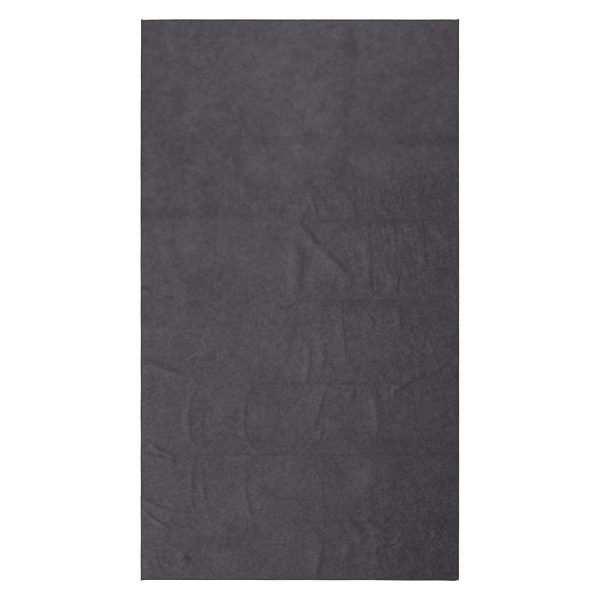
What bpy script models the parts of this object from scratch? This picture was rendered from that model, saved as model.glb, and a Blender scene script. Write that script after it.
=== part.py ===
"""A quick dry travel towel, spread flat: a microfibre panel with a three-thread overlock on each edge.

Metres, +Z up. The towel's long side runs along Y, and its needle stitches are on the upper face. The
origin is on the surface that the towel lies on, below the middle of the cloth.
"""

import math

import bmesh
import bpy

# Driving dimensions
WIDTH = 0.850  # along X, over the seams
LENGTH = 1.500  # along Y, over the seams
NAP_THICKNESS = 0.0016  # of the open cloth, with the nap of both faces
PRESSED_THICKNESS = 0.0004  # of the cloth where the overlock squeezes it
THREAD_LAYER = 0.0003  # thickness of a layer of looper thread
NEEDLE_ROW = 0.0005  # width of the row of needle stitches
SEAM_WIDTH = 0.0040  # from the raw edge to the inner side of the needle stitches
GAP = 0.0003  # between neighbouring pieces
CORNER_RADIUS = 0.0012  # of the cloth, inside the outline
CORNER_STEPS = 6  # straight pieces in a rounded corner
NAP_ROUNDING = 0.0003  # where the nap rolls over beside the seam
THREAD_ROUNDING = 0.00008  # on a thread layer's edges

# Places that follow from them
MIDDLE = NAP_THICKNESS / 2
PRESSED_LOW = MIDDLE - PRESSED_THICKNESS / 2
PRESSED_HIGH = MIDDLE + PRESSED_THICKNESS / 2
TOP_LAYER_LOW = NAP_THICKNESS - THREAD_LAYER
RAW_EDGE = THREAD_LAYER + GAP  # how far the cloth's raw edge stands in from the outline
SHOULDER = SEAM_WIDTH + GAP  # where the cloth has its full thickness again
LOOPER_WIDTH = SEAM_WIDTH - NEEDLE_ROW - GAP
SHORT_SEAM = WIDTH - 2 * SHOULDER  # the short edges' seams run between those of the long edges

CLOTH_COLOUR = (0.076, 0.072, 0.082, 1.0)
THREAD_COLOUR = (0.045, 0.042, 0.048, 1.0)

# Edge name: quarter turns from the left edge, distance from the middle to the edge, length of its seam
EDGES = {
    "left": (0, WIDTH / 2, LENGTH),
    "foot": (1, LENGTH / 2, SHORT_SEAM),
    "right": (2, WIDTH / 2, LENGTH),
    "head": (3, LENGTH / 2, SHORT_SEAM),
}


def clear_scene():
    for existing in list(bpy.data.objects):
        bpy.data.objects.remove(existing, do_unlink=True)


def textile(name, colour, roughness):
    """A plain Principled material for cloth or thread."""
    material = bpy.data.materials.new(name)
    material.use_nodes = True
    material.diffuse_color = colour
    shader = material.node_tree.nodes["Principled BSDF"]
    shader.inputs["Base Color"].default_value = colour
    shader.inputs["Roughness"].default_value = roughness
    shader.inputs["Metallic"].default_value = 0.0
    return material


def add_object(name, bm, material):
    """Makes the bmesh into an object of its own, with its faces pointing out."""
    bmesh.ops.recalc_face_normals(bm, faces=bm.faces)
    mesh = bpy.data.meshes.new(name)
    bm.to_mesh(mesh)
    bm.free()
    mesh.materials.append(material)
    piece = bpy.data.objects.new(name, mesh)
    bpy.context.scene.collection.objects.link(piece)
    return piece


def rectangle_ring(bm, inset, height):
    """The vertices of a rectangle with rounded corners, standing in from the towel's outline by inset."""
    corner_x = WIDTH / 2 - inset - CORNER_RADIUS
    corner_y = LENGTH / 2 - inset - CORNER_RADIUS
    ring = []
    for quarter, (side_x, side_y) in enumerate(((1, 1), (-1, 1), (-1, -1), (1, -1))):
        for step in range(CORNER_STEPS + 1):
            angle = math.radians(90 * (quarter + step / CORNER_STEPS))
            x = side_x * corner_x + CORNER_RADIUS * math.cos(angle)
            y = side_y * corner_y + CORNER_RADIUS * math.sin(angle)
            ring.append(bm.verts.new((x, y, height)))
    return ring


def skin_between(bm, lower, upper):
    """Faces between two rings, from each vertex to the one that matches it."""
    next_lower = lower[1:] + lower[:1]
    next_upper = upper[1:] + upper[:1]
    for corners in zip(lower, next_lower, next_upper, upper):
        bm.faces.new(corners)


def make_panel(material):
    """The cloth: full thickness in the open, and pressed to a thin tongue where the seams grip it."""
    profile = [
        (SHOULDER + NAP_ROUNDING, 0.0),
        (SHOULDER, NAP_ROUNDING),
        (SHOULDER, PRESSED_LOW),
        (RAW_EDGE, PRESSED_LOW),
        (RAW_EDGE, PRESSED_HIGH),
        (SHOULDER, PRESSED_HIGH),
        (SHOULDER, NAP_THICKNESS - NAP_ROUNDING),
        (SHOULDER + NAP_ROUNDING, NAP_THICKNESS),
    ]
    bm = bmesh.new()
    rings = [rectangle_ring(bm, inset, height) for inset, height in profile]
    for lower, upper in zip(rings, rings[1:]):
        skin_between(bm, lower, upper)
    bm.faces.new(rings[0])
    bm.faces.new(rings[-1])
    add_object("microfibre_panel", bm, material)


def thread_outlines():
    """Each thread's cross-section, as distance in from the towel's outline and height above the floor."""
    wall_end = MIDDLE + GAP / 2  # the two loopers lock together at half height, on the raw edge
    upper_looper = [
        (0.0, wall_end),
        (THREAD_LAYER, wall_end),
        (THREAD_LAYER, TOP_LAYER_LOW),
        (LOOPER_WIDTH, TOP_LAYER_LOW),
        (LOOPER_WIDTH, NAP_THICKNESS),
        (0.0, NAP_THICKNESS),
    ]
    lower_looper = [(inset, NAP_THICKNESS - height) for inset, height in upper_looper]
    needle_thread = [
        (SEAM_WIDTH - NEEDLE_ROW, TOP_LAYER_LOW),
        (SEAM_WIDTH, TOP_LAYER_LOW),
        (SEAM_WIDTH, NAP_THICKNESS),
        (SEAM_WIDTH - NEEDLE_ROW, NAP_THICKNESS),
    ]
    return {
        "needle_thread": needle_thread,
        "upper_looper_thread": upper_looper,
        "lower_looper_thread": lower_looper,
    }


def make_thread(name, outline, edge, material):
    """One thread's stitches along one edge, as a closed strip of the cross-section given."""
    quarter_turns, distance, length = EDGES[edge]
    bm = bmesh.new()
    end_face = bm.faces.new([bm.verts.new((inset, -length / 2, height)) for inset, height in outline])
    extruded = bmesh.ops.extrude_face_region(bm, geom=[end_face])
    moved = [part for part in extruded["geom"] if isinstance(part, bmesh.types.BMVert)]
    bmesh.ops.translate(bm, verts=moved, vec=(0.0, length, 0.0))
    piece = add_object(name, bm, material)
    bevel = piece.modifiers.new("rounded_threads", "BEVEL")
    bevel.width = THREAD_ROUNDING
    bevel.segments = 2
    turn = math.radians(90 * quarter_turns)
    piece.rotation_euler = (0.0, 0.0, turn)
    piece.location = (-distance * math.cos(turn), -distance * math.sin(turn), 0.0)


def main():
    clear_scene()
    cloth = textile("microfibre", CLOTH_COLOUR, roughness=0.95)
    thread = textile("overlock_thread", THREAD_COLOUR, roughness=0.7)
    make_panel(cloth)
    for edge in EDGES:
        for thread_name, outline in thread_outlines().items():
            make_thread(f"{edge}_edge_{thread_name}", outline, edge, thread)


main()
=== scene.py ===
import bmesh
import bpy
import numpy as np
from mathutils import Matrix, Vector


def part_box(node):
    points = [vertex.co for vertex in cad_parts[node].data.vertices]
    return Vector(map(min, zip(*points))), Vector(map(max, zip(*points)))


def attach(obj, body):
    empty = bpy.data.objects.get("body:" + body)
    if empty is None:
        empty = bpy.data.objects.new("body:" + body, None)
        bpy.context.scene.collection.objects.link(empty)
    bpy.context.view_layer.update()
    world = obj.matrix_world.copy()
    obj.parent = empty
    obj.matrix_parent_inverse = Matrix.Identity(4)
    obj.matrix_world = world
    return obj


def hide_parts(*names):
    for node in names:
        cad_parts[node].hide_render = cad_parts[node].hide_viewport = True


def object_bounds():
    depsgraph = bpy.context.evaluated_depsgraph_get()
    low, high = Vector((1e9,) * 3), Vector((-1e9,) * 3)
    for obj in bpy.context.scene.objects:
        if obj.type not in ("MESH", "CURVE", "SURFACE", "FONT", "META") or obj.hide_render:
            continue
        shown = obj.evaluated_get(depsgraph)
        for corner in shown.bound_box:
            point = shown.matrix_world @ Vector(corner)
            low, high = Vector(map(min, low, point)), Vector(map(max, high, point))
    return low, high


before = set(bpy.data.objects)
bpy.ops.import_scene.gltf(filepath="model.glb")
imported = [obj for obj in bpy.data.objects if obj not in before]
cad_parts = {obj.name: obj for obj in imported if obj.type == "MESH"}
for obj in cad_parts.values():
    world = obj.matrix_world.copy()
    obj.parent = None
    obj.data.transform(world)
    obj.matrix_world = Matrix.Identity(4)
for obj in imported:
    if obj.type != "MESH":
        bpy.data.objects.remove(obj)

# Looks of the quick dry towel: brushed microfibre with packing creases, and a three-thread overlock on
# each edge. Metres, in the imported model's frame: X across the towel, Y towards its head edge, Z up from the
# floor. The towel is designed flat, as points (x, y) of the spread cloth. lay() carries each flat point to
# where it lies, so that the cloth and the threads sewn to it bend together.

MM = 0.001

# ------------------------ sizes, from the frame

cad_low, cad_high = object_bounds()
HALF_WIDTH = cad_high.x
HALF_LENGTH = cad_high.y
THICKNESS = cad_high.z
MIDDLE = THICKNESS / 2
# From the outline to the cloth's raw edge, and to the inner side of the needle stitches
RAW_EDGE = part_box("microfibre_panel")[0].x - cad_low.x
SEAM_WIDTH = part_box("left_edge_needle_thread")[1].x - cad_low.x
EDGES = ("left", "foot", "right", "head")
LONG_EDGES = ("left", "right")

# ------------------------ smooth shapes on the flat cloth

NOISE_MARGIN = 2.0  # cells of the noise before the cloth's outline
NOISE_SPARE = 6  # cells of the noise beyond those that the cloth covers
SHORT_OF_END = 1.001  # cells, so that there is always a next point in the noise's lattice


def lattice_place(distance, cell, count):
    """The number of the lattice point before each distance, and the eased share of the way to the next.

    The share is eased so that the noise has no kinks at the lattice's points.
    """
    place = np.clip(distance / cell + NOISE_MARGIN, 0.0, count - SHORT_OF_END)
    number = place.astype(int)
    share = place - number
    return number, share * share * (3 - 2 * share)


def smooth_noise(x, y, cell, seed):
    """Noise from -1 to 1, with features about one cell across. cell is a size, or (size_x, size_y)."""
    cell_x, cell_y = cell if isinstance(cell, tuple) else (cell, cell)
    rng = np.random.default_rng(seed)
    columns = int(2 * HALF_WIDTH / cell_x) + NOISE_SPARE
    rows = int(2 * HALF_LENGTH / cell_y) + NOISE_SPARE
    lattice = rng.uniform(-1.0, 1.0, (columns, rows))
    i, share_x = lattice_place(x + HALF_WIDTH, cell_x, columns)
    j, share_y = lattice_place(y + HALF_LENGTH, cell_y, rows)
    near = lattice[i, j] * (1 - share_x) + lattice[i + 1, j] * share_x
    far = lattice[i, j + 1] * (1 - share_x) + lattice[i + 1, j + 1] * share_x
    return near * (1 - share_y) + far * share_y


def noise_layers(x, y, layers):
    """Smooth noises added up. A layer is its height, the size of its features, and its seed."""
    return sum(height * smooth_noise(x, y, size, seed) for height, size, seed in layers)


def uneven(x, y, mean, swing, size, seed):
    """A strength that varies over the cloth by as much as swing to either side of its mean."""
    return mean + swing * smooth_noise(x, y, size, seed)


def smooth_step(value, start, end):
    """0 up to the start, 1 from the end on, and a smooth rise in between."""
    t = np.clip((value - start) / (end - start), 0.0, 1.0)
    return t * t * (3 - 2 * t)


def between(value, low, high, blur):
    """1 between low and high and 0 outside them, with both steps blurred by as much as blur."""
    return smooth_step(value, low - blur, low + blur) * smooth_step(-value, -high - blur, -high + blur)


def bell(distance, width):
    """1 where the distance is 0, falling to about a third at one width and to almost 0 at two."""
    return np.exp(-(distance / width) ** 2)


def in_places(x, y, places):
    """How strongly the places act at each flat point.

    A place is x, y, half width and half height in mm, and its strength in the middle.
    """
    total = np.zeros_like(x)
    for place_x, place_y, half_x, half_y, share in places:
        spread = ((x / MM - place_x) / half_x) ** 2 + ((y / MM - place_y) / half_y) ** 2
        total += share * np.exp(-spread)
    return total


def from_outline(x, y):
    """How far each flat point stands in from the towel's outline."""
    return np.minimum(HALF_WIDTH - np.abs(x), HALF_LENGTH - np.abs(y))


# ------------------------ packing folds

# The towel was folded to about 14 x 20 cm for its pouch. Folds across the width: y in mm; at four places
# from left to right, how dark the line is, worn nap with painted shade of the fold's groove; at the same
# places, how dark the soft band of painted shade beside it is; and y of that band's middle in mm.
CROSS_FOLDS = (
    (600, (0.0, 0.0, 0.3, 0.8), (0.1, 0.1, 0.0, 0.1), 600),
    (418, (0.0, 0.8, 0.1, 0.3), (0.6, 0.4, 0.6, 1.5), 428),
    (213, (0.1, 0.3, 0.4, 0.5), (0.9, 0.8, 0.3, 0.2), 226),
    (-2, (0.0, 0.2, 1.4, 0.4), (0.1, 0.2, 1.0, 0.5), -10),
    (-222, (0.3, 0.3, 1.5, 0.3), (0.0, 0.2, 0.2, 0.4), -214),
    (-412, (0.5, 1.4, 2.0, 1.1), (0.1, 0.7, 0.9, 0.3), -378),
    (-590, (0.1, 0.3, 0.6, 0.6), (0.1, 0.2, 0.4, 0.4), -592),
)
FOLD_PLACES = (-320, -105, 105, 320)  # the four places, as x in mm
# Folds along the length: x, then the range of y where they show, in mm, and how strongly
LENGTH_FOLDS = ((142, 200, 740, 0.8), (-142, -600, -220, 0.4), (284, 0, 420, 0.3))
LENGTH_FOLD_BLUR = 0.03  # over which a fold along the length fades out at its ends
SET_AT_LEAST = 0.35  # how sharply a fold across the width is set where its line isn't darkened
SET_BY_DARK_LINE = 0.65  # how much sharper it is where the line's darkness is 1
RIDGE = 0.45 * MM
VALLEY = -0.32 * MM
FOLD_EDGE = 5 * MM  # how quickly a fold falls off from its sharp edge
FOLD_WIDTH = 0.02  # how far its flanks reach
FOLD_WANDER = 1.5 * MM  # how far a fold strays from its straight line


def across(x, values):
    """Values given at the four fold places, spread over the width."""
    return np.interp(x / MM, FOLD_PLACES, values)


def fold_wander(x, y):
    """How far the folds stray from straight lines."""
    return FOLD_WANDER * smooth_noise(x, y, (0.16, 0.6), 31)


def fold_distances(x, y):
    """Signed distance to each packing fold, and how sharply it is still set there."""
    wander = fold_wander(x, y)
    for place, lines, _, _ in CROSS_FOLDS:
        yield y - place * MM - wander, SET_AT_LEAST + SET_BY_DARK_LINE * across(x, lines)
    for place, low, high, strength in LENGTH_FOLDS:
        yield x - place * MM - wander, strength * between(y, low * MM, high * MM, LENGTH_FOLD_BLUR)


def fold_lift(x, y):
    """The height that the packing folds add: valley and ridge in turn, each with a sharp edge."""
    added = np.zeros_like(x)
    for turn, (distance, strength) in enumerate(fold_distances(x, y)):
        height = (RIDGE if turn % 2 else VALLEY) * strength
        added += height * np.exp(-np.abs(distance) / FOLD_EDGE) * bell(distance, FOLD_WIDTH)
    return added


# ------------------------ wrinkles

# In mm: points along the line where the shade is darkest, height of the crest beside it (less than 0 for
# a furrow), and widths of the flank towards the light and of the one away from it. The wrinkles are grouped
# by the packing folds that they lie between.
WRINKLES = (
    # the tent that stands right of the middle: its slanting side in two parts, then its upright one
    (((-3, 211), (9, 200), (27, 177), (46, 153), (64, 135)), 4.6, 20, 10),
    (((60, 142), (80, 122), (104, 97), (130, 73), (146, 60)), 4.2, 20, 9),
    (((2, 178), (1, 125), (-1, 70), (-2, 8)), 3.7, 18, 16),
    (((9, 160), (10, 125), (7, 70), (4, 18)), 1.3, 14, 4.5),
    # between -2 and 213, right half
    (((183, 202), (187, 140), (190, 80), (192, 8)), 1.9, 14, 4.5),
    (((225, 204), (234, 165), (244, 128)), 1.7, 12, 4.5),
    (((249, 212), (255, 168), (259, 124)), 1.7, 10, 4),
    (((307, 214), (317, 195), (331, 173)), 2.0, 11, 4),
    (((322, 208), (336, 182)), 0.6, 7, 4),
    (((329, 136), (334, 116), (339, 92)), 2.0, 13, 4),
    (((361, 215), (371, 190), (385, 162)), 2.2, 14, 4.5),
    (((275, 86), (265, 56), (259, 22)), 1.5, 22, 5),
    (((203, 66), (210, 42), (208, 18), (216, -6)), 0.8, 8, 4),
    # between 213 and 418
    (((122, 298), (134, 272), (145, 245), (147, 212)), 1.3, 13, 5),
    (((31, 290), (38, 262), (44, 238), (49, 218)), 2.2, 9, 4.5),
    (((60, 270), (73, 240), (87, 212)), 0.8, 9, 4),
    (((-91, 288), (-83, 264), (-76, 236)), 0.8, 8, 4),
    (((-114, 262), (-107, 228)), 1.3, 7, 4),
    (((-147, 330), (-144, 300), (-139, 272)), 1.0, 9, 4),
    (((219, 258), (233, 236), (243, 210)), 1.2, 9, 4.5),
    # between 418 and the head edge
    (((74, 584), (67, 546), (59, 508), (53, 486)), 1.2, 12, 4.5),
    (((246, 496), (251, 458), (263, 426)), 0.7, 8, 4),
    (((189, 510), (200, 488), (217, 477)), 0.6, 8, 4),
    (((38, 613), (62, 627), (89, 643)), 2.2, 9, 4),
    (((206, 682), (211, 706), (227, 731)), 0.7, 8, 4),
    (((-292, 690), (-288, 660), (-284, 634)), -3.0, 11, 10),
    # between -222 and -2
    (((112, -2), (115, -45), (119, -92), (125, -138), (143, -172)), 1.5, 16, 4.5),
    (((62, 0), (58, -40), (64, -84), (68, -126)), 0.5, 12, 6),
    (((25, -112), (29, -160), (25, -198), (16, -232)), 2.6, 10, 9),
    (((65, -112), (68, -150), (63, -188)), 2.4, 16, 9),
    (((179, -32), (192, -49), (205, -64)), 2.4, 8, 4.5),
    (((264, -16), (268, -48), (273, -82)), 1.4, 9, 5),
    (((334, -78), (333, -106), (328, -133)), 1.0, 9, 4),
    (((-29, -110), (-31, -140), (-38, -172)), 1.1, 9, 6),
    (((-58, -116), (-66, -152)), 1.5, 7, 5),
    # between -412 and -222
    (((-266, -226), (-284, -256), (-293, -300), (-292, -345), (-284, -375), (-268, -400)), 2.1, 16, 5),
    (((-246, -272), (-256, -304), (-259, -340), (-253, -372), (-249, -400)), 0.9, 9, 4),
    (((-124, -226), (-139, -264), (-146, -312), (-142, -362), (-122, -392), (-90, -417)), 1.5, 10, 4.5),
    (((81, -222), (69, -246), (57, -285), (48, -318), (38, -348)), 1.8, 12, 6),
    (((151, -226), (145, -252), (131, -290)), 1.8, 7, 10),
    (((197, -228), (205, -258), (213, -292), (216, -322), (214, -354)), 3.6, 10, 17),
    (((70, -228), (98, -224), (135, -223), (168, -227), (197, -233)), 1.8, 11, 6),
    (((228, -279), (246, -258), (268, -236), (302, -217), (355, -199), (397, -168)), 2.2, 12, 5),
    (((397, -170), (410, -192), (420, -216)), 0.5, 9, 4),
    (((61, -346), (53, -378)), 1.8, 8, 4),
    (((232, -368), (252, -379), (288, -386)), 1.3, 8, 4),
    # between -590 and -412
    (((-274, -410), (-283, -455), (-286, -505), (-283, -548), (-275, -588)), 1.3, 10, 6),
    (((-262, -434), (-256, -490), (-250, -540), (-239, -580), (-228, -606)), 1.1, 8, 5),
    (((-142, -450), (-142, -500), (-136, -545), (-126, -582), (-113, -634)), 1.5, 6, 7),
    (((44, -434), (56, -464), (61, -500), (65, -545), (76, -582)), 1.2, 14, 6),
    (((204, -462), (193, -495), (180, -542)), 2.0, 20, 18),
    # from -590 to the foot edge
    (((127, -566), (142, -590), (159, -610), (165, -630), (171, -650)), 2.4, 14, 8),
    (((172, -577), (186, -590), (204, -600), (237, -619)), 2.2, 9, 5),
    (((62, -654), (59, -686), (52, -716), (46, -744)), 3.0, 16, 8),
    (((146, -642), (135, -680), (130, -714), (126, -743)), 2.0, 8, 20),
    (((178, -640), (183, -670), (184, -702)), 0.4, 8, 4),
    (((204, -660), (208, -684), (213, -704), (218, -722)), 1.5, 8, 4.5),
    (((36, -612), (58, -638)), 1.1, 8, 4),
    (((354, -613), (377, -628)), 1.8, 8, 4),
    (((259, -598), (275, -626)), 1.3, 8, 4.5),
    (((-313, -669), (-303, -684), (-292, -702)), 2.8, 18, 10),
    # pulled from the left edge
    (((-424, -160), (-385, -169), (-345, -184), (-296, -206)), 3.0, 9, 11),
    (((-404, -375), (-392, -385), (-373, -398), (-357, -405), (-329, -418)), 2.8, 8, 4),
    (((-418, -409), (-392, -413), (-364, -420), (-334, -427)), 3.0, 8, 6),
    (((-430, -521), (-408, -533), (-390, -543), (-362, -555), (-332, -562), (-296, -565)), 3.4, 8, 6),
    (((-414, -558), (-402, -569), (-384, -585), (-364, -598), (-346, -607)), 2.8, 6, 4),
    (((-352, -577), (-340, -593), (-322, -601)), 1.2, 7, 4),
    (((-395, -645), (-381, -672), (-377, -700)), 0.8, 8, 6),
    (((-414, -684), (-400, -706), (-386, -726)), 0.9, 9, 5),
    (((-424, 36), (-408, 30), (-394, 22)), 3.4, 9, 6),
    (((-330, 66), (-308, 46), (-290, 28)), 0.7, 9, 6),
)
AWAY_FROM_LIGHT = np.array((0.94, 0.34))  # on the floor, roughly the way that the key light falls
STEEPEST = 0.7  # of a flank's width, from the crest to where the flank is steepest
WRINKLE_REACH = 3  # of a flank's widths, past which it adds next to nothing
FADING = 0.45  # the lower this is, the nearer to its ends a wrinkle keeps its height
# Painted light in the nap's colour on a wrinkle's flanks: its strength for each mm of the crest's height,
# the most mm that count, and its width as a share of the flank's
FLANK_SHADE_ALONG = 0.3  # painted shade, away from the light, where the wrinkle runs along the towel
FLANK_SHADE_ACROSS = 0.5  # how much more there, where it runs across
MOST_FLANK_SHADE = 2.0
FLANK_SHADE_WIDTH = 0.8
LIT_FLANK_HIGHLIGHT = 0.4  # painted highlight, on the lit flank
MOST_HIGHLIGHT = 3.0
HIGHLIGHT_WIDTH = 0.7


def smooth_line(points, steps=8):
    """A Catmull-Rom curve through the points, as an array of its own points."""
    knots = np.array([points[0], *points, points[-1]], float)
    line = []
    for a, b, c, d in zip(knots, knots[1:], knots[2:], knots[3:]):
        for t in np.arange(steps) / steps:
            line.append(0.5 * (2 * b + (c - a) * t + (2 * a - 5 * b + 4 * c - d) * t * t
                               + (3 * b - a - 3 * c + d) * t ** 3))
    line.append(knots[-1])
    return np.array(line)


def beside_line(x, y, points, reach):
    """Which flat points lie in the box round a wrinkle's line, widened by reach, and where they lie.

    For each of those points: how far it is from the line, counted as more than 0 on the side away from
    the light, and how much of the wrinkle is left there, as it fades out towards its ends.
    """
    line = smooth_line(points) * MM
    low = line.min(0) - reach
    high = line.max(0) + reach
    near = (x > low[0]) & (x < high[0]) & (y > low[1]) & (y < high[1])
    spots = np.stack((x[near], y[near]), 1)
    starts = line[:-1]
    runs = line[1:] - starts
    lengths = np.linalg.norm(runs, axis=1)
    travelled = np.concatenate(((0.0,), np.cumsum(lengths)))
    offsets = spots[:, None, :] - starts[None]
    along = np.clip((offsets * runs).sum(2) / lengths ** 2, 0.0, 1.0)
    gaps = offsets - along[..., None] * runs
    distances = np.linalg.norm(gaps, axis=2)
    nearest = distances.argmin(1)
    rows = np.arange(len(spots))
    place = (travelled[nearest] + along[rows, nearest] * lengths[nearest]) / travelled[-1]
    away = np.sign(gaps[rows, nearest] @ AWAY_FROM_LIGHT)
    fade = (4 * place * (1 - place)) ** FADING
    return near, away * distances[rows, nearest], fade


def wrinkle_lift(x, y, points, height, lit_width, shade_width):
    """The height that one wrinkle adds: a crest with two flanks, fading out at its ends."""
    near, off, fade = beside_line(x, y, points, WRINKLE_REACH * max(lit_width, shade_width) * MM)
    off += STEEPEST * shade_width * MM
    width = np.where(off > 0, shade_width, lit_width) * MM
    added = np.zeros_like(x)
    added[near] = height * MM * fade * bell(off, width)
    return added


def wrinkle_painted_light(x, y, points, height, lit_width, shade_width):
    """Painted light beside a wrinkle: a painted highlight on the lit flank, and painted shade on the other.

    The painted shade is stronger where a wrinkle runs across the towel.
    """
    near, off, fade = beside_line(x, y, points, WRINKLE_REACH * (lit_width + shade_width) * MM)
    (start_x, start_y), (end_x, end_y) = points[0], points[-1]
    across_towel = abs(end_x - start_x) / np.hypot(end_x - start_x, end_y - start_y)
    dark_flank_paint = (FLANK_SHADE_ALONG + FLANK_SHADE_ACROSS * across_towel) * min(abs(height), MOST_FLANK_SHADE)
    lit_flank_paint = LIT_FLANK_HIGHLIGHT * min(max(height, 0.0), MOST_HIGHLIGHT)
    lit_middle = STEEPEST * (lit_width + shade_width) * MM
    shade = np.zeros_like(x)
    shade[near] = fade * (lit_flank_paint * bell(off + lit_middle, HIGHLIGHT_WIDTH * lit_width * MM)
                          - dark_flank_paint * bell(off, FLANK_SHADE_WIDTH * shade_width * MM))
    return shade


# ------------------------ crumples

# Where the cloth is finely crumpled: x, y, half width and half height in mm, and how much
CRUMPLED_PLACES = (
    (280, 275, 150, 62, 1.0), (30, 262, 100, 50, 0.7), (-120, 262, 110, 45, 0.5),
    (310, -120, 110, 80, 0.8), (260, -245, 120, 30, 0.6), (350, -470, 60, 70, 0.5),
    (300, -640, 150, 120, 0.9), (-340, -690, 80, 50, 0.6),
)
CRUMPLE_HEIGHT = 0.8 * MM
CRUMPLE_SIZE = 0.028  # of the noise whose zero lines are the crumples' ridges
CRUMPLE_SHARPNESS = 3.5  # a ridge ends where that noise reaches 1 / 3.5
CRUMPLE_STRAY = 4 * MM  # how far the ridges are bent out of their smooth course
CRUMPLE_BEND = 0.02  # how far apart those bends are


def crumpling(x, y):
    """How finely crumpled the cloth is, with smoother spots in between."""
    return in_places(x, y, CRUMPLED_PLACES) * uneven(x, y, mean=1, swing=0.6, size=0.03, seed=62)


def crumple_lift(x, y):
    """The height that the fine crumples add: low ridges along the lines where a smooth noise is 0."""
    stray_x = x + CRUMPLE_STRAY * smooth_noise(x, y, CRUMPLE_BEND, 63)
    stray_y = y + CRUMPLE_STRAY * smooth_noise(x, y, CRUMPLE_BEND, 64)
    off_ridge = np.abs(smooth_noise(stray_x, stray_y, CRUMPLE_SIZE, 65))
    ridges = np.maximum(1 - CRUMPLE_SHARPNESS * off_ridge, 0.0)
    return CRUMPLE_HEIGHT * crumpling(x, y) * ridges


# ------------------------ how the flat cloth is laid

MEAN_LIFT = 1.3 * MM  # of the open cloth, above its resting height
SWELLS = ((0.9 * MM, 0.16, 5), (0.45 * MM, 0.075, 6))  # slow ones, left by the folding
LEAST_LIFT = 0.12 * MM
SETTLING = 0.06  # how far in from the outline the cloth settles nearer to the floor
LEFT_AT_OUTLINE = 0.2  # share of the mean lift, the swells and the crumples

# How far each edge strays towards +X or +Y from a straight line, in mm, at even steps from left to right
# or from foot to head
EDGE_STRAYS = {
    "left": (-2.0, -1.9, -2.05, -1.85, -2.1, -2.2, -1.8, -1.05),
    "foot": (1.2, 0.85, 0.75, 0.6, 0.5, 0.55, -0.45, -0.65),
    "right": (0.5, 0.9, 1.0, 1.0, 1.1, 0.8, 0.75, 1.25),
    "head": (0.0, 0.8, 0.75, 0.55, 0.55, 0.65, 0.3, 0.7),
}
# The edges' fine ripples: how far in mm, how long in metres a radian, and where they start in radians
EDGE_RIPPLES = {
    "left": (0.2, 0.021, 0.0),
    "foot": (0.15, 0.028, 1.3),
    "right": (0.1, 0.024, 1.0),
    "head": (0.12, 0.03, 0.0),
}
EDGE_SOFTNESS = 0.05  # how quickly an edge's straying dies down into the cloth
# Where the seams' ends pull or push the corners: x and y, how far along X and along Y, and reach, in mm
CORNER_PULLS = (
    (-425, 750, 0.0, 0.9, 4), (-413, 750, 0.0, -0.5, 6),
    (425, 750, 0.0, 1.2, 5), (411, 750, 0.0, -0.9, 6),
    (-425, -750, -0.3, -2.0, 5),
    (425, -750, -0.5, 2.4, 7), (408, -750, 0.0, -0.9, 10),
)


def lift(x, y):
    """How far the cloth stands above its resting height."""
    inner = smooth_step(from_outline(x, y), 0.0, SETTLING)
    share = LEFT_AT_OUTLINE + (1 - LEFT_AT_OUTLINE) * inner
    height = share * (MEAN_LIFT + noise_layers(x, y, SWELLS) + crumple_lift(x, y)) + fold_lift(x, y)
    for wrinkle in WRINKLES:
        height += wrinkle_lift(x, y, *wrinkle)
    return np.maximum(height, LEAST_LIFT)


def edge_shift(edge, along, half, inside):
    """How far, in mm, an edge shifts the cloth at a place along it and a distance inside it."""
    strays = EDGE_STRAYS[edge]
    size, length, start = EDGE_RIPPLES[edge]
    stray = np.interp(along / half, np.linspace(-1.0, 1.0, len(strays)), strays)
    return (stray + size * np.sin(along / length + start)) * np.exp(-inside / EDGE_SOFTNESS)


def drift(x, y):
    """How far the spread cloth strays along X and along Y from a true rectangle."""
    left = edge_shift("left", y, HALF_LENGTH, x + HALF_WIDTH)
    right = edge_shift("right", y, HALF_LENGTH, HALF_WIDTH - x)
    head = edge_shift("head", x, HALF_WIDTH, HALF_LENGTH - y)
    foot = edge_shift("foot", x, HALF_WIDTH, y + HALF_LENGTH)
    sideways = (left + right) * MM
    lengthways = (head + foot) * MM
    for corner_x, corner_y, pull_x, pull_y, reach in CORNER_PULLS:
        share = np.exp(-((x / MM - corner_x) ** 2 + (y / MM - corner_y) ** 2) / reach ** 2)
        sideways += pull_x * MM * share
        lengthways += pull_y * MM * share
    return sideways, lengthways


def lay(x, y):
    """Where the flat points (x, y) of the cloth's middle layer come to lie, as an array of x, y, z."""
    sideways, lengthways = drift(x, y)
    return np.stack((x + sideways, y + lengthways, MIDDLE + lift(x, y)), -1)
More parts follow.
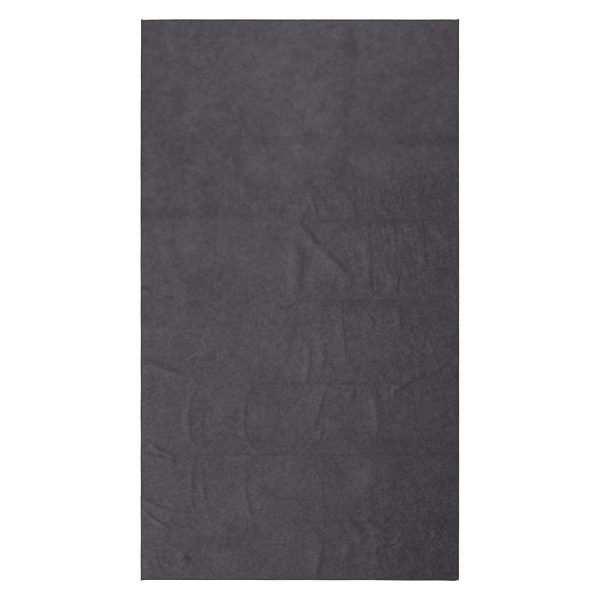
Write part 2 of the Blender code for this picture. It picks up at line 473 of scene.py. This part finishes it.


# ------------------------ the nap

# Patches painted paler or darker than the nap's mean, some of them painted light and shade as noted below:
# x, y, half width and half height in mm, and by how much (more than 0 is paler). The patches are grouped by
# the folds that their middles lie between.
TONE_AND_LIGHT_PATCHES = (
    # broad ones
    (0, -50, 230, 1500, 1.0), (-330, 600, 150, 200, -0.4), (350, 650, 90, 150, -0.3),
    (20, -60, 170, 200, 0.3), (350, -260, 120, 500, -0.25), (345, 640, 75, 130, 0.6),
    (325, -635, 115, 120, -0.35),
    # along the side edges; (-421, 0) is painted shade on the lit left edge, (420, 0) painted light on the
    # right
    (421, 600, 8, 130, -0.6), (-421, -150, 8, 120, 0.9), (-421, 0, 4, 1500, -0.35),
    (420, 0, 5, 1500, 0.35),
    # above 600
    (-344, 620, 18, 110, 0.5), (-300, 685, 18, 45, 0.6), (245, 680, 90, 60, 0.5),
    (131, 680, 14, 42, -1.4), (-212, 603, 22, 12, -1.0), (-370, 705, 60, 40, 0.6),
    (-105, 700, 35, 35, -0.5),
    # between 418 and 600
    (41, 590, 30, 110, 0.4), (131, 590, 14, 120, -0.5), (-375, 530, 24, 45, 0.5),
    (-288, 500, 22, 50, 0.6), (15, 520, 45, 50, 0.6), (-105, 590, 20, 40, 0.4),
    (145, 568, 18, 10, -0.9), (-192, 530, 16, 12, -1.2), (-145, 500, 14, 12, -1.1),
    (-240, 515, 15, 10, -0.6), (-418, 535, 22, 22, -1.0), (-400, 480, 20, 40, -0.5),
    (120, 452, 10, 14, -1.1), (15, 440, 12, 18, -0.8), (-100, 450, 10, 30, -0.7),
    # between 213 and 418
    (-15, 330, 20, 120, 0.5), (125, 300, 25, 110, -0.5), (30, 375, 60, 45, 0.4),
    (230, 370, 60, 45, 0.6), (-118, 352, 22, 28, 0.9), (-325, 402, 28, 14, -0.8),
    (-180, 388, 22, 18, -0.9), (118, 385, 16, 12, -1.1), (-305, 235, 12, 12, -0.9),
    (-245, 250, 18, 18, -0.9), (275, 290, 14, 14, -0.8), (250, 335, 14, 9, -0.8),
    (320, 330, 10, 8, -0.7), (100, 325, 22, 25, -0.6), (-415, 380, 10, 20, -0.8),
    (380, 260, 40, 60, -0.15), (-370, 260, 60, 40, -0.6), (-150, 260, 60, 80, -0.5),
    # (230, 215) is painted shade that tones down the wrinkles' lit flanks right of the tent
    (230, 215, 110, 80, -0.45),
    # between -2 and 213
    (240, 203, 120, 12, -0.9), (-105, 20, 90, 13, -0.7), (-105, 98, 90, 10, 0.6),
    (-310, 160, 45, 40, 0.8), (-212, 150, 22, 60, 0.5), (45, 105, 20, 45, 0.5), (160, 120, 22, 50, 0.5),
    (232, 38, 18, 30, 0.7), (-250, 60, 45, 25, -0.6), (-90, 55, 8, 7, -0.9), (-45, 60, 9, 14, -0.7),
    (-325, 90, 10, 10, -0.7), (0, 95, 11, 85, -0.6), (-313, 112, 40, 35, 0.6), (-175, 10, 45, 60, -0.5),
    (172, 0, 45, 70, -0.65), (345, 0, 60, 60, 0.35),
    # between -222 and -2
    (-212, -200, 14, 150, 0.4), (-400, -188, 25, 7, 0.7), (-350, -199, 25, 6, 0.5),
    (190, -90, 40, 40, 0.4), (-360, -110, 25, 30, 0.4), (163, -182, 9, 9, -0.9),
    (210, -115, 200, 40, 0.45), (10, -180, 55, 40, 0.7), (-313, -37, 40, 40, -0.5),
    (385, -215, 40, 50, 0.3),
    # between -412 and -222
    (-215, -300, 15, 35, 0.5), (-115, -310, 20, 40, 0.4), (330, -300, 60, 50, 0.4),
    (-113, -377, 16, 8, -1.3), (232, -376, 9, 9, -0.9), (130, -262, 80, 40, 0.85),
    (215, -330, 65, 40, 0.7), (34, -332, 35, 35, 0.45), (385, -290, 40, 60, 0.55),
    (-215, -262, 60, 40, -0.5), (250, -262, 60, 30, 0.3),
    # between -590 and -412
    (185, -480, 45, 90, 0.4), (12, -540, 14, 90, -0.4), (-232, -570, 22, 140, 0.5),
    (165, -560, 45, 130, 0.4), (172, -482, 24, 28, 0.6), (-165, -560, 30, 40, 0.5),
    # (245, -562) is the painted shade of a small dent
    (245, -562, 14, 14, -1.1), (-313, -520, 40, 70, 0.4),
    # below -590
    (-60, -600, 25, 20, 0.4), (-215, -690, 30, 40, 0.3), (-325, -714, 25, 22, 0.7),
    (-185, -650, 32, 18, -0.9), (-260, -640, 20, 20, -0.5), (98, -690, 8, 12, -0.9),
    # (-388, -594) is a painted highlight on a wrinkle's lit flank, and (-404, -597) painted shade beside it
    (268, -690, 10, 12, -0.8), (-388, -594, 24, 4, 0.7), (-405, -722, 14, 12, 0.8),
    (-404, -597, 14, 4, -0.8), (130, -600, 60, 60, -0.45), (-345, -705, 60, 40, -0.7),
    (-70, -600, 55, 60, 0.35), (242, -628, 35, 40, 0.5),
)
PATCH_SHADE = 1.5  # in the middle of a patch of 1
PATCH_RIM = 1.5  # how sharp a patch's rim is, where a bell's is 1
PATCH_BREADTH = 1.8  # the more, the further a patch reaches past its half width and half height
# How far the patches' outlines are bent along X and along Y, as layers of noise
PATCH_STRAYS = (((6 * MM, 0.03, 45), (3 * MM, 0.012, 46)), ((6 * MM, 0.03, 47), (3 * MM, 0.012, 48)))
BASE_SHADE = -0.35
MOTTLING = ((0.6, 0.10, 42), (0.55, 0.05, 43), (0.45, 0.026, 49))  # of the whole nap
# At a fold across the width, where its line or band is 1. The line is worn nap with painted shade of
# the fold's groove; the band is painted shade beside it.
WORN_AND_SHADED_LINE = 2.3
WORN_AND_SHADED_WIDTH = 2.6 * MM
BAND_PAINTED_SHADE = 1.4
BAND_PAINTED_WIDTH = 15 * MM
# Beside the seams: painted shade where the cloth dips into the seam, and a painted highlight on a ridge
# further in; in mm: distance in from the outline, and width
SEAM_DIP_PLACE = (4.5, 1.6)
SEAM_DIP_SHADE = 1.2
SEAM_RIDGE_PLACE = (8.5, 2.0)
SEAM_RIDGE_HIGHLIGHT = 0.25
HEAD_SEAM_HIGHLIGHT = 0.9
HEAD_STRIP = 0.02  # from the head edge, where the ridge's painted highlight has that strength
LEAST_BLOTCHING = 0.15
# Where a warmer light is painted into the nap's colour: x, y, half width and half height in mm, and how much
WARM_LIGHT_PLACES = (
    (-110, 220, 200, 190, 0.95), (-380, 260, 70, 90, 0.35), (10, -90, 90, 150, 0.45),
    (400, 680, 60, 110, 0.9),
)


def fold_shade(x, y):
    """At the cross folds: a line of worn nap with painted shade, and a soft band of painted shade beside it.
    """
    wander = fold_wander(x, y)
    line_strength = uneven(x, y, mean=0.7, swing=0.6, size=(0.02, 0.06), seed=41)
    mottled = uneven(x, y, mean=0.8, swing=0.7, size=0.018, seed=44)
    shade = np.zeros_like(x)
    for place, lines, bands, middle in CROSS_FOLDS:
        line = WORN_AND_SHADED_LINE * across(x, lines) * line_strength * bell(y - place * MM - wander, WORN_AND_SHADED_WIDTH)
        band = BAND_PAINTED_SHADE * across(x, bands) * mottled * bell(y - middle * MM - 3 * wander, BAND_PAINTED_WIDTH)
        shade -= line + band
    return shade


def seam_painted_light(x, y):
    """Painted shade where the cloth dips into the seams, and a painted highlight on a ridge further in."""
    inside = from_outline(x, y) / MM
    ridge_middle, ridge_width = SEAM_RIDGE_PLACE
    dip_middle, dip_width = SEAM_DIP_PLACE
    ridge_light = np.where(y > HALF_LENGTH - HEAD_STRIP, HEAD_SEAM_HIGHLIGHT, SEAM_RIDGE_HIGHLIGHT)
    ridge_light = ridge_light * bell(inside - ridge_middle, ridge_width)
    return ridge_light - SEAM_DIP_SHADE * bell(inside - dip_middle, dip_width)


def patch_shade(x, y):
    """The patches' tone and painted light, each with a flatter middle and a sharper rim than a bell's."""
    stray_x = x + noise_layers(x, y, PATCH_STRAYS[0])
    stray_y = y + noise_layers(x, y, PATCH_STRAYS[1])
    shade = np.zeros_like(x)
    for place_x, place_y, half_x, half_y, change in TONE_AND_LIGHT_PATCHES:
        spread = ((stray_x / MM - place_x) / half_x) ** 2 + ((stray_y / MM - place_y) / half_y) ** 2
        shade += PATCH_SHADE * change * np.exp(-spread ** PATCH_RIM / PATCH_BREADTH)
    return shade


def nap_tone_and_painted_light(x, y):
    """The nap's tone with painted light and shade, off its mean: 1 is about a tenth of the cloth's colour."""
    shade = BASE_SHADE + noise_layers(x, y, MOTTLING) + fold_shade(x, y)
    for wrinkle in WRINKLES:
        shade += wrinkle_painted_light(x, y, *wrinkle)
    return shade + seam_painted_light(x, y) + patch_shade(x, y)


def blotching(x, y):
    """How blotchy the nap is: most in the head half, towards the left."""
    return LEAST_BLOTCHING + (1 - LEAST_BLOTCHING) * smooth_step(y - 0.5 * x, -0.10, 0.45)


def warmth(x, y):
    """How far a warmer light is painted into the nap's colour."""
    return in_places(x, y, WARM_LIGHT_PLACES) * uneven(x, y, mean=1, swing=0.4, size=0.07, seed=61)


def creping(x, y):
    """How finely the cloth is creped along its length.

    It is creped most on the right between the folds at -2 and 213, less above them in the middle, and
    least in the whole foot right part.
    """
    right = 0.9 * smooth_step(x, 0.08, 0.22) * between(y, 0.01, 0.205, 0.02)
    above = 0.5 * between(x, 0.03, 0.19, 0.03) * between(y, 0.22, 0.33, 0.03)
    below = 0.4 * smooth_step(x, -0.10, 0.12) * smooth_step(-y, -0.03, 0.05)
    return right + above + below


# What the material reads at each vertex, under these names
NAP_VALUES = {
    "nap_tone_and_painted_light": nap_tone_and_painted_light,
    "nap_blotching": blotching,
    "nap_creping": creping,
    "nap_painted_warm_light": warmth,
    "nap_crumpling": crumpling,
}


# ------------------------ the cloth

PITCH = 8.0 * MM  # of the grid before it is cut finer
FINE_REACHES = (24.0 * MM, 10.0 * MM)  # nearer to a crease than these, the grid is halved, and again
FOLD_SHARE = 0.6  # of those reaches beside a packing fold
FOLD_SET = 0.2  # how sharply a fold has to be set for a finer grid
CRUMPLED = 0.4  # how crumpled a place has to be for the grid to be halved once there,
CRUMPLED_DISTANCE = 0.9 * FINE_REACHES[0]  # as it then counts as this near to a crease
FAR = 1.0  # metres, which stands for no crease nearby
PRESSED_HALF = 0.2 * MM  # half the cloth's thickness inside the seams
# The nap rolls over from that to its full thickness between these distances from the outline
ROLL_START = SEAM_WIDTH - 0.4 * MM
ROLL_END = SEAM_WIDTH + 2.2 * MM
UNDERSIDE_STEP = 2  # the underside has one line for each two on the face
# Grid lines beside the seams, by distance in from the raw edge: the last is the first of the even ones
SEAM_LINES = (0.0, 1.3 * MM, 2.6 * MM, 3.6 * MM, 4.6 * MM, 5.8 * MM, 8.4 * MM, 11.2 * MM)


def grid_lines(half):
    """Places of grid lines from -half to half, even but for those listed beside the seams."""
    inner = half - SEAM_LINES[-1]
    spans = UNDERSIDE_STEP * round(2 * inner / PITCH / UNDERSIDE_STEP)
    side = -half + np.array(SEAM_LINES[:-1])
    return np.concatenate((side, np.linspace(-inner, inner, spans + 1), -side[::-1]))


def crease_distance(x, y):
    """How far each flat point is from the nearest wrinkle, packing fold or crumpled place."""
    nearest = np.full_like(x, FAR)
    for points, *_ in WRINKLES:
        near, off, _ = beside_line(x, y, points, 2 * FINE_REACHES[0])
        nearest[near] = np.minimum(nearest[near], np.abs(off))
    for distance, strength in fold_distances(x, y):
        off = np.where(strength > FOLD_SET, np.abs(distance) / FOLD_SHARE, FAR)
        nearest = np.minimum(nearest, off)
    return np.where(crumpling(x, y) > CRUMPLED, np.minimum(nearest, CRUMPLED_DISTANCE), nearest)


def add_grid(bm, xs, ys, side):
    """A flat grid, as a table of its vertices. side is 1 for the face and -1 for the underside.

    Until the cloth is laid, side stands in for the vertices' height.
    """
    table = [[bm.verts.new((x, y, side)) for y in ys] for x in xs]
    for column, next_column in zip(table, table[1:]):
        for j in range(len(ys) - 1):
            corners = (column[j], next_column[j], next_column[j + 1], column[j + 1])
            bm.faces.new(corners if side > 0 else corners[::-1])
    return table


def cut_finer(bm, reach):
    """Halves the face's grid where it lies nearer than reach to a crease, but not in the seams."""
    bm.verts.index_update()
    x, y, side = np.array([vertex.co for vertex in bm.verts]).T
    open_cloth = from_outline(x, y) > SEAM_WIDTH
    chosen = (side > 0) & open_cloth & (crease_distance(x, y) < reach)
    edges = [edge for edge in bm.edges if chosen[edge.verts[0].index] and chosen[edge.verts[1].index]]
    bmesh.ops.subdivide_edges(bm, edges=edges, cuts=1, use_grid_fill=True, use_single_edge=True)


def rim(table):
    """The vertices round the edge of a table, once round."""
    side = [column[0] for column in table[:-1]] + table[-1][:-1]
    return side + [column[-1] for column in table[:0:-1]] + table[0][:0:-1]


def close_rim(bm, above, below):
    """Joins the face's rim to the underside's, which has only one vertex for each UNDERSIDE_STEP above."""
    step = UNDERSIDE_STEP
    for i, low in enumerate(below):
        next_low = below[(i + 1) % len(below)]
        high = [above[(i * step + k) % len(above)] for k in range(step + 1)]
        for here, ahead in zip(high, high[1:]):
            bm.faces.new((low, ahead, here))
        bm.faces.new((low, next_low, high[-1]))


def half_thickness(x, y):
    """Half the cloth's thickness: full in the open, and pressed thin inside the seams."""
    full = smooth_step(from_outline(x, y), ROLL_START, ROLL_END)
    return PRESSED_HALF + (THICKNESS / 2 - PRESSED_HALF) * full


def vertex_places(mesh):
    """The places of a mesh's vertices, as an array with a row for each."""
    places = np.empty(3 * len(mesh.vertices))
    mesh.vertices.foreach_get("co", places)
    return places.reshape(-1, 3)


def add_object(name, mesh):
    """Makes the mesh into a smooth object of its own."""
    mesh.shade_smooth()
    piece = bpy.data.objects.new(name, mesh)
    bpy.context.scene.collection.objects.link(piece)
    return piece


def add_values(piece, name, values):
    """Stores one number a vertex for the material to read."""
    attribute = piece.data.attributes.new(name, "FLOAT", "POINT")
    attribute.data.foreach_set("value", np.asarray(values, np.float32))


def make_cloth():
    """The panel: a face that is finer at its creases, a coarser underside, and the raw edge between."""
    xs = grid_lines(HALF_WIDTH - RAW_EDGE)
    ys = grid_lines(HALF_LENGTH - RAW_EDGE)
    bm = bmesh.new()
    face = add_grid(bm, xs, ys, 1.0)
    underside = add_grid(bm, xs[::UNDERSIDE_STEP], ys[::UNDERSIDE_STEP], -1.0)
    close_rim(bm, rim(face), rim(underside))
    for reach in FINE_REACHES:
        cut_finer(bm, reach)
    bmesh.ops.triangulate(bm, faces=[polygon for polygon in bm.faces if len(polygon.verts) > 4])
    mesh = bpy.data.meshes.new("microfibre_cloth")
    bm.to_mesh(mesh)
    bm.free()
    x, y, side = vertex_places(mesh).T
    places = lay(x, y)
    places[:, 2] += side * half_thickness(x, y)
    mesh.vertices.foreach_set("co", places.ravel())
    piece = add_object("microfibre_cloth", mesh)
    for name, measure in NAP_VALUES.items():
        add_values(piece, name, measure(x, y))
    return piece


# ------------------------ the overlock

STITCH = 2.0 * MM
THREAD_RADIUS = 0.27 * MM
TAIL = 1.6 * MM  # of thread chain past the cloth, where a long edge's seam was trimmed
TAIL_INSET = 1.5 * MM  # towards which the tail's threads draw together
TAIL_DRAWN = 0.7  # share of the way there that they have come at its end
TAIL_FLATTENED = 0.5  # share of their height that they have lost at its end
UNEVENNESS = 0.04  # spread of a stitch's place, as a share of it, and of its reach, as a share of that
UNEVEN_HEIGHT = 0.5  # mm of height for an unevenness of 1
WRAPPED = 1.0  # mm in from the outline, up to which every stitch hugs the raw edge in the same way
# One stitch of each thread: share of the stitch along the edge, then in mm the distance in from the outline
# and the height above the cloth's middle layer
STITCHES = {
    "upper_looper": (
        (0.00, 0.25, 0.00), (0.06, 0.45, 0.42), (0.16, 1.10, 0.62), (0.22, 2.20, 0.62),
        (0.26, 3.20, 0.60), (0.40, 3.62, 0.50), (0.54, 3.15, 0.62), (0.68, 2.20, 0.64),
        (0.82, 1.10, 0.62), (0.94, 0.45, 0.42),
    ),
    "lower_looper": (
        (0.00, 0.35, 0.00), (0.06, 0.45, -0.42), (0.20, 1.20, -0.58), (0.34, 2.30, -0.58),
        (0.50, 3.40, -0.52), (0.66, 2.30, -0.60), (0.82, 1.20, -0.58), (0.94, 0.45, -0.42),
    ),
    "needle": (
        (0.00, 3.75, -0.10), (0.12, 3.75, 0.45), (0.35, 3.75, 0.72), (0.65, 3.75, 0.72),
        (0.88, 3.75, 0.45),
    ),
}
# Painted light and shade on the thread: how much paler it is at an edge's start, middle and end, from left
# to right or foot to head
EDGE_PAINTED_LIGHT = {
    "left": (0.4, 0.32, 0.42),
    "foot": (-0.4, 0.55, 0.32),
    "right": (0.17, 0.32, 0.25),
    "head": (0.3, -0.45, 0.15),
}


def edge_points(edge, along, inset):
    """Flat points at a distance along an edge from its middle and a distance in from the outline."""
    if edge == "left":
        return -HALF_WIDTH + inset, -along
    if edge == "foot":
        return along, -HALF_LENGTH + inset
    if edge == "right":
        return HALF_WIDTH - inset, along
    return -along, HALF_LENGTH - inset


def thread_path(edge, kind):
    """The thread's route along the edge, with each stitch a little uneven, laid with the cloth."""
    half = HALF_LENGTH + TAIL if edge in LONG_EDGES else HALF_WIDTH - SEAM_WIDTH
    count = round(2 * half / STITCH)
    rng = np.random.default_rng(EDGES.index(edge) * 10 + len(kind))
    route = []
    for stitch in range(count):
        slip = rng.normal(0.0, UNEVENNESS, 3)
        for share, inset, height in STITCHES[kind]:
            along = -half + (stitch + share + slip[0]) * 2 * half / count
            reach = 1 + slip[1] * (inset > WRAPPED)
            route.append((along, inset * reach * MM, (height + UNEVEN_HEIGHT * slip[2]) * MM))
    along, inset, height = np.array(route).T
    past_cloth = np.clip((np.abs(along) - HALF_LENGTH) / TAIL, 0.0, 1.0)
    inset += TAIL_DRAWN * past_cloth * (TAIL_INSET - inset)
    height *= 1 - TAIL_FLATTENED * past_cloth
    path = lay(*edge_points(edge, along, inset))
    path[:, 2] += height
    return path


def sweep(name, path):
    """A round yarn swept along the path, as a mesh."""
    curve = bpy.data.curves.new(name, "CURVE")
    curve.dimensions = "3D"
    curve.bevel_depth = THREAD_RADIUS
    curve.bevel_resolution = 1
    curve.use_fill_caps = True
    spline = curve.splines.new("POLY")
    spline.points.add(len(path) - 1)
    spline.points.foreach_set("co", np.c_[path, np.ones(len(path))].ravel())
    guide = bpy.data.objects.new(name + "_guide", curve)
    bpy.context.scene.collection.objects.link(guide)
    mesh = bpy.data.meshes.new_from_object(guide.evaluated_get(bpy.context.evaluated_depsgraph_get()))
    bpy.data.objects.remove(guide)
    mesh.name = name
    return mesh


def make_thread(edge, kind):
    """One thread along one edge."""
    name = f"{edge}_edge_{kind}_stitches"
    thread = add_object(name, sweep(name, thread_path(edge, kind)))
    x, y, _ = vertex_places(thread.data).T
    share = y / HALF_LENGTH if edge in LONG_EDGES else x / HALF_WIDTH
    add_values(thread, "thread_painted_light", np.interp(share, (-1.0, 0.0, 1.0), EDGE_PAINTED_LIGHT[edge]))
    return thread


# ------------------------ materials

NAP_DARK = (0.0389, 0.0365, 0.0426)
NAP_PALE = (0.0983, 0.0923, 0.1073)
# The nap's colours under the painted warmer light
WARM_DARK = (0.0413, 0.0352, 0.0426)
WARM_PALE = (0.1042, 0.0891, 0.1073)
THREAD_DARK = (0.0040, 0.0037, 0.0043)
THREAD_PALE = (0.062, 0.058, 0.067)
SHADE_STEP = 0.094  # how far a shade of 1 moves the nap's tone between its dark and its pale colour
TONE_POWER = 1.3  # above 1, so that the mean tone lies nearer to the dark colour


class Shader:
    """A material's node tree, with short calls for the nodes that the cloth and thread need."""

    def __init__(self, name):
        self.material = bpy.data.materials.new(name)
        self.material.use_nodes = True
        self.tree = self.material.node_tree
        self.surface = self.tree.nodes["Principled BSDF"]
        self.position = self.node("ShaderNodeTexCoord").outputs["Object"]

    def connect(self, socket, value):
        """Sets a socket to a value, or links it to another node's output."""
        if isinstance(value, bpy.types.NodeSocket):
            self.tree.links.new(value, socket)
        else:
            socket.default_value = value

    def node(self, kind, inputs=(), **settings):
        """A new node, with its settings made first and its inputs connected after them."""
        made = self.tree.nodes.new(kind)
        for key, value in settings.items():
            setattr(made, key, value)
        for key, value in dict(inputs).items():
            self.connect(made.inputs[key], value)
        return made

    def stretched(self, scale, turn=0.0):
        """The position for a noise that is drawn out by scale and turned in the plane of the towel."""
        inputs = {"Vector": self.position, "Rotation": (0.0, 0.0, turn), "Scale": scale}
        return self.node("ShaderNodeMapping", inputs, vector_type="TEXTURE").outputs[0]

    def noise(self, size, detail=2.0, roughness=0.5, distortion=0.0, vector=None):
        """Noise from 0 to 1, with features about size metres across."""
        inputs = {"Vector": vector or self.position, "Scale": 0.5 / size, "Detail": detail,
                  "Roughness": roughness, "Distortion": distortion}
        return self.node("ShaderNodeTexNoise", inputs).outputs["Fac"]

    def math(self, operation, a, b, c=0.0):
        """The outcome of a math node."""
        return self.node("ShaderNodeMath", {0: a, 1: b, 2: c}, operation=operation).outputs[0]

    def attribute(self, name):
        """The number that add_values() stored."""
        return self.node("ShaderNodeAttribute", attribute_name=name).outputs["Fac"]

    def vary(self, factor, noise, strength):
        """Adds to the factor how far the noise strays from its mean, times the strength."""
        return self.math("MULTIPLY_ADD", self.math("SUBTRACT", noise, 0.5), strength, factor)

    def blend(self, factor, dark, pale):
        """A colour between the two given, each of them an output or red, green and blue."""
        mixer = self.node("ShaderNodeMix", {"Factor": factor}, data_type="RGBA")
        sockets = [socket for socket in mixer.inputs if socket.type == "RGBA"]
        for socket, colour in zip(sockets, (dark, pale)):
            self.connect(socket, colour if isinstance(colour, bpy.types.NodeSocket) else (*colour, 1.0))
        return [socket for socket in mixer.outputs if socket.type == "RGBA"][0]

    def use(self, **sockets):
        """Sets the surface's sockets, named with _ for a space, to values or links."""
        for key, value in sockets.items():
            self.connect(self.surface.inputs[key.replace("_", " ")], value)

    def use_bump(self, strength, distance, height):
        """Gives the surface a relief too fine for its mesh."""
        inputs = {"Strength": strength, "Distance": distance, "Height": height}
        self.use(Normal=self.node("ShaderNodeBump", inputs).outputs["Normal"])


def crumple_lines(shader, amount):
    """The amount on the lines where a noise is at its mean, and 0 off them."""
    bends = shader.noise(16 * MM, distortion=0.6)
    off_line = shader.math("ABSOLUTE", shader.math("SUBTRACT", bends, 0.5), 0.0)
    lines = shader.math("MAXIMUM", shader.math("MULTIPLY_ADD", off_line, -9.0, 1.0), 0.0)
    return shader.math("MULTIPLY", lines, amount)


def microfibre():
    """Charcoal brushed microfibre: grain, tufts and fibres, with clumps, crepe and crumples in places."""
    shader = Shader("microfibre_nap")
    blotching_here = shader.attribute("nap_blotching")
    creping_here = shader.attribute("nap_creping")
    crumpling_here = shader.attribute("nap_crumpling")
    fibres = shader.noise(0.45 * MM, roughness=0.6, vector=shader.stretched((1.0, 2.2, 1.0)))
    grain = shader.noise(2.7 * MM, detail=3.0, roughness=0.65)
    tufts = shader.noise(9 * MM, detail=3.0, roughness=0.6, distortion=0.5)
    clumps = shader.noise(17 * MM, detail=3.0, roughness=0.6, distortion=0.8)
    crepe = shader.noise(4.5 * MM, vector=shader.stretched((1.0, 7.0, 1.0), turn=0.17))
    crumples = crumple_lines(shader, crumpling_here)

    # The grain is weaker where the nap is blotchy, and stronger where it is creped
    grain_strength = shader.math("MULTIPLY_ADD", blotching_here, -0.7, 1.83)
    grain_strength = shader.math("MULTIPLY_ADD", creping_here, 0.3, grain_strength)
    # the nap's tone and the painted light and shade, read from the cloth's vertices
    tone = shader.math("MULTIPLY_ADD", shader.attribute("nap_tone_and_painted_light"), SHADE_STEP, 0.5)
    tone = shader.vary(tone, grain, strength=grain_strength)
    tone = shader.vary(tone, tufts, strength=0.75)
    tone = shader.vary(tone, fibres, strength=1.2)
    tone = shader.vary(tone, clumps, strength=shader.math("MULTIPLY", blotching_here, 0.68))
    tone = shader.vary(tone, crepe, strength=shader.math("MULTIPLY", creping_here, 0.95))
    # Painted shade on a crumple's line, and paler cloth between the lines, so that the mean is about kept
    tone = shader.math("MULTIPLY_ADD", crumples, -0.2, tone)
    tone = shader.math("MULTIPLY_ADD", crumpling_here, 0.05, tone)
    tone = shader.math("POWER", shader.math("MAXIMUM", tone, 0.0), TONE_POWER)
    # the nap's colours, plain and under the painted warmer light
    cool = shader.blend(tone, NAP_DARK, NAP_PALE)
    warm = shader.blend(tone, WARM_DARK, WARM_PALE)
    shader.use(Base_Color=shader.blend(shader.attribute("nap_painted_warm_light"), cool, warm))
    shader.use(Roughness=shader.math("MULTIPLY_ADD", tufts, 0.15, 0.85))
    shader.use(Sheen_Weight=0.15, Sheen_Roughness=0.5, Specular_IOR_Level=0.25)

    relief = shader.math("MULTIPLY_ADD", tufts, 0.8, shader.math("MULTIPLY_ADD", fibres, 0.35, grain))
    relief = shader.math("MULTIPLY_ADD", crumples, 6.0, relief)
    shader.use_bump(strength=0.5, distance=0.5 * MM, height=relief)
    return shader.material


def overlock_thread():
    """Textured polyester thread, mostly darker than the cloth, with the fine bulk of its filaments."""
    shader = Shader("overlock_thread")
    filaments = shader.noise(0.35 * MM, roughness=0.6)
    dye = shader.noise(12 * MM)
    tone = shader.math("MULTIPLY_ADD", filaments, 0.4, shader.math("MULTIPLY", dye, 0.25))
    # painted light and shade on the thread, edge by edge
    tone = shader.math("ADD", tone, shader.attribute("thread_painted_light"))
    shader.use(Base_Color=shader.blend(tone, THREAD_DARK, THREAD_PALE))
    shader.use(Roughness=shader.math("MULTIPLY_ADD", filaments, 0.2, 0.6))
    shader.use(Sheen_Weight=0.1, Specular_IOR_Level=0.3)
    shader.use_bump(strength=0.6, distance=0.1 * MM, height=filaments)
    return shader.material


# ------------------------ studio

LENS = 85.0
SENSOR = 36.0
VIEW_WIDTH = 1.6024  # across the picture, at the height of the flat cloth's face
WHITE = (1.0, 1.0, 1.0, 1.0)
FLOOR_COLOUR = (0.9, 0.9, 0.9, 1.0)
FLOOR_HALF = 20.0
FLOOR_HEIGHT = -0.3 * MM
FLOOR_GLOW = 0.85  # lifts the floor to white, and the towel's shadow with it
SKY_STRENGTH = 0.24


def make_camera():
    """A camera straight above the middle of the towel."""
    data = bpy.data.cameras.new("camera")
    data.lens = LENS
    data.sensor_width = SENSOR
    camera = bpy.data.objects.new("camera", data)
    camera.location = (0.0, 0.0, THICKNESS + VIEW_WIDTH * LENS / SENSOR)
    bpy.context.scene.collection.objects.link(camera)
    bpy.context.scene.camera = camera


def area_light(name, place, size, power):
    """A square soft box that points at the middle of the towel."""
    data = bpy.data.lights.new(name, "AREA")
    data.size = size
    data.energy = power
    light = bpy.data.objects.new(name, data)
    light.location = place
    light.rotation_euler = light.location.to_track_quat("Z", "Y").to_euler()
    light.visible_camera = False
    bpy.context.scene.collection.objects.link(light)


def make_floor():
    """A wide white floor just below the towel."""
    signs = ((-1, -1), (1, -1), (1, 1), (-1, 1))
    corners = [(x * FLOOR_HALF, y * FLOOR_HALF, FLOOR_HEIGHT) for x, y in signs]
    mesh = bpy.data.meshes.new("floor")
    mesh.from_pydata(corners, [], [(0, 1, 2, 3)])
    floor = add_object("floor", mesh)
    material = bpy.data.materials.new("pale_floor")
    material.use_nodes = True
    surface = material.node_tree.nodes["Principled BSDF"]
    surface.inputs["Base Color"].default_value = FLOOR_COLOUR
    surface.inputs["Roughness"].default_value = 0.9
    surface.inputs["Specular IOR Level"].default_value = 0.0
    surface.inputs["Emission Color"].default_value = WHITE
    surface.inputs["Emission Strength"].default_value = FLOOR_GLOW
    floor.data.materials.append(material)


def make_world():
    """Even white light all round, and a plain white backdrop behind the floor."""
    world = bpy.data.worlds.new("studio")
    bpy.context.scene.world = world
    world.use_nodes = True
    tree = world.node_tree
    light = tree.nodes["Background"]
    light.inputs["Color"].default_value = WHITE
    light.inputs["Strength"].default_value = SKY_STRENGTH
    backdrop = tree.nodes.new("ShaderNodeBackground")
    backdrop.inputs["Color"].default_value = WHITE
    backdrop.inputs["Strength"].default_value = 1.0
    rays = tree.nodes.new("ShaderNodeLightPath")
    chooser = tree.nodes.new("ShaderNodeMixShader")
    tree.links.new(rays.outputs["Is Camera Ray"], chooser.inputs[0])
    tree.links.new(light.outputs[0], chooser.inputs[1])
    tree.links.new(backdrop.outputs[0], chooser.inputs[2])
    tree.links.new(chooser.outputs[0], tree.nodes["World Output"].inputs["Surface"])


def make_studio():
    """The camera, the floor and the light, with the key light low on the left."""
    bpy.context.scene.view_settings.view_transform = "Standard"
    make_camera()
    make_world()
    make_floor()
    area_light("key", place=(-2.0, -0.8, 1.3), size=0.8, power=58.0)
    area_light("head_light", place=(0.1, 1.5, 1.3), size=0.6, power=17.0)


# ------------------------ everything together

make_studio()
cloth = make_cloth()
cloth.data.materials.append(microfibre())
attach(cloth, "root")
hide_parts("microfibre_panel")

thread_material = overlock_thread()
for edge in EDGES:
    for kind in STITCHES:
        thread = make_thread(edge, kind)
        thread.data.materials.append(thread_material)
        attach(thread, "root")
        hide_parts(f"{edge}_edge_{kind}_thread")
